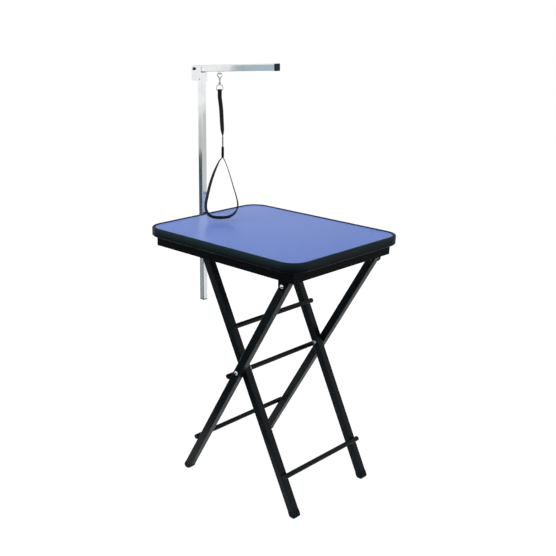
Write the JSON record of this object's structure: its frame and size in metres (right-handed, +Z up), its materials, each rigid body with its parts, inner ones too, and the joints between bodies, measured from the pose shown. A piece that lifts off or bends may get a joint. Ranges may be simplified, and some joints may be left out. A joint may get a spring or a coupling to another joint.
{
  "type": "dog grooming table",
  "caption": "Folding dog grooming table with a blue top, black crossed legs, a chrome post and arm, and a hanging noose.",
  "frame": {"origin": "centre of the overall footprint, on the floor", "axes": "+X along the long side of the top, away from the post; +Y from the near long side to the far one; +Z up"},
  "size_m": [0.659, 0.487, 1.275],
  "materials": {
    "blue_laminate": "fine textured",
    "board": "raw board",
    "edge_rubber": "satin",
    "black_steel": "satin enamel",
    "black_enamel": "gloss enamel",
    "foot_rubber": "matte",
    "black_plastic": "satin",
    "chrome": "bright",
    "hook_metal": "plated",
    "webbing": "woven"
  },
  "bodies": {
    "outer_frame": {"outer_leg_near": "black_enamel", "outer_leg_far": "black_enamel", "outer_lower_bar": "black_enamel", "outer_middle_bar": "black_enamel", "outer_foot_near": "foot_rubber", "outer_foot_far": "foot_rubber", "outer_leg_plug_near": "black_plastic", "outer_leg_plug_far": "black_plastic", "pivot_bolt_near": "chrome", "pivot_bolt_far": "chrome"},
    "inner_frame": {"inner_leg_near": "black_enamel", "inner_leg_far": "black_enamel", "inner_upper_bar": "black_enamel", "inner_lower_bar": "black_enamel", "inner_foot_near": "foot_rubber", "inner_foot_far": "foot_rubber", "inner_leg_plug_near": "black_plastic", "inner_leg_plug_far": "black_plastic", "pivot_washer_near": "black_plastic", "pivot_washer_far": "black_plastic", "pivot_nut_near": "chrome", "pivot_nut_far": "chrome"},
    "table_top": {"top_board": "board", "top_mat": "blue_laminate", "edge_trim": "edge_rubber", "near_rail": "black_steel", "far_rail": "black_steel", "left_rail": "black_steel", "right_rail": "black_steel", "hinge_plate_near": "black_steel", "hinge_plate_far": "black_steel", "hinge_pin_near": "chrome", "hinge_pin_far": "chrome", "hinge_washer_near": "black_plastic", "hinge_washer_far": "black_plastic", "leg_seat_near": "black_plastic", "leg_seat_far": "black_plastic", "post_socket": "black_steel", "socket_bolt_near": "black_steel", "socket_bolt_far": "black_steel"},
    "clamp": {"clamp_screw": "chrome", "clamp_knob": "black_plastic"},
    "post": {"post_tube": "chrome", "post_plug": "black_plastic", "arm_bracket": "chrome", "bracket_rivet": "chrome", "arm_pivot_bolt": "chrome"},
    "arm_knob": {"arm_knob": "black_plastic"},
    "arm": {"arm_tube": "chrome", "arm_end_cap": "black_plastic", "hook_staple": "chrome"},
    "hook": {"snap_hook": "hook_metal", "gate_pin": "hook_metal"},
    "gate": {"hook_gate": "hook_metal"},
    "leash": {"swivel_ring": "hook_metal", "leash_strap": "webbing", "noose_loop": "webbing"},
    "slider": {"noose_slider": "black_plastic"}
  },
  "joints": [
    {"name": "leg_fold", "type": "hinge", "parent": "outer_frame", "child": "inner_frame", "pos_m": [0.08705, 0, 0.4232], "axis": [0, 1, 0], "range_deg": [0, 55.5]},
    {"name": "top_lift", "type": "hinge", "parent": "outer_frame", "child": "table_top", "pos_m": [0.26133, 0, 0.7344], "axis": [0, 1, 0], "range_deg": [0, 95]},
    {"name": "clamp_turn", "type": "hinge", "parent": "table_top", "child": "clamp", "pos_m": [-0.29295, 0.013, 0.7619], "axis": [1, 0, 0], "range_deg": [0, 360]},
    {"name": "post_height", "type": "slide", "parent": "table_top", "child": "post", "axis": [0, 0, 1], "range_m": [0, 0.2]},
    {"name": "arm_knob_turn", "type": "hinge", "parent": "post", "child": "arm_knob", "pos_m": [-0.31515, 0.013, 1.2485], "axis": [0, -1, 0], "range_deg": [0, 360]},
    {"name": "arm_fold", "type": "hinge", "parent": "post", "child": "arm", "pos_m": [-0.31515, 0.013, 1.2485], "axis": [0, -1, 0], "range_deg": [0, 265]},
    {"name": "hook_swing", "type": "hinge", "parent": "arm", "child": "hook", "pos_m": [-0.21411, 0.013, 1.23678], "axis": [1, 0, 0], "range_deg": [-40, 40]},
    {"name": "gate_open", "type": "hinge", "parent": "hook", "child": "gate", "pos_m": [-0.21178, 0.01533, 1.22753], "axis": [0.7071, -0.7071, 0], "range_deg": [0, 22], "stiffness_Nm_per_rad": 0.02, "springref_deg": -17.19},
    {"name": "ring_swivel", "type": "hinge", "parent": "hook", "child": "leash", "pos_m": [-0.21411, 0.013, 1.20933], "axis": [0, 0, 1], "continuous": true},
    {"name": "slider_slide", "type": "slide", "parent": "leash", "child": "slider", "axis": [0, 0, 1], "range_m": [0, 0.03]}
  ]
}
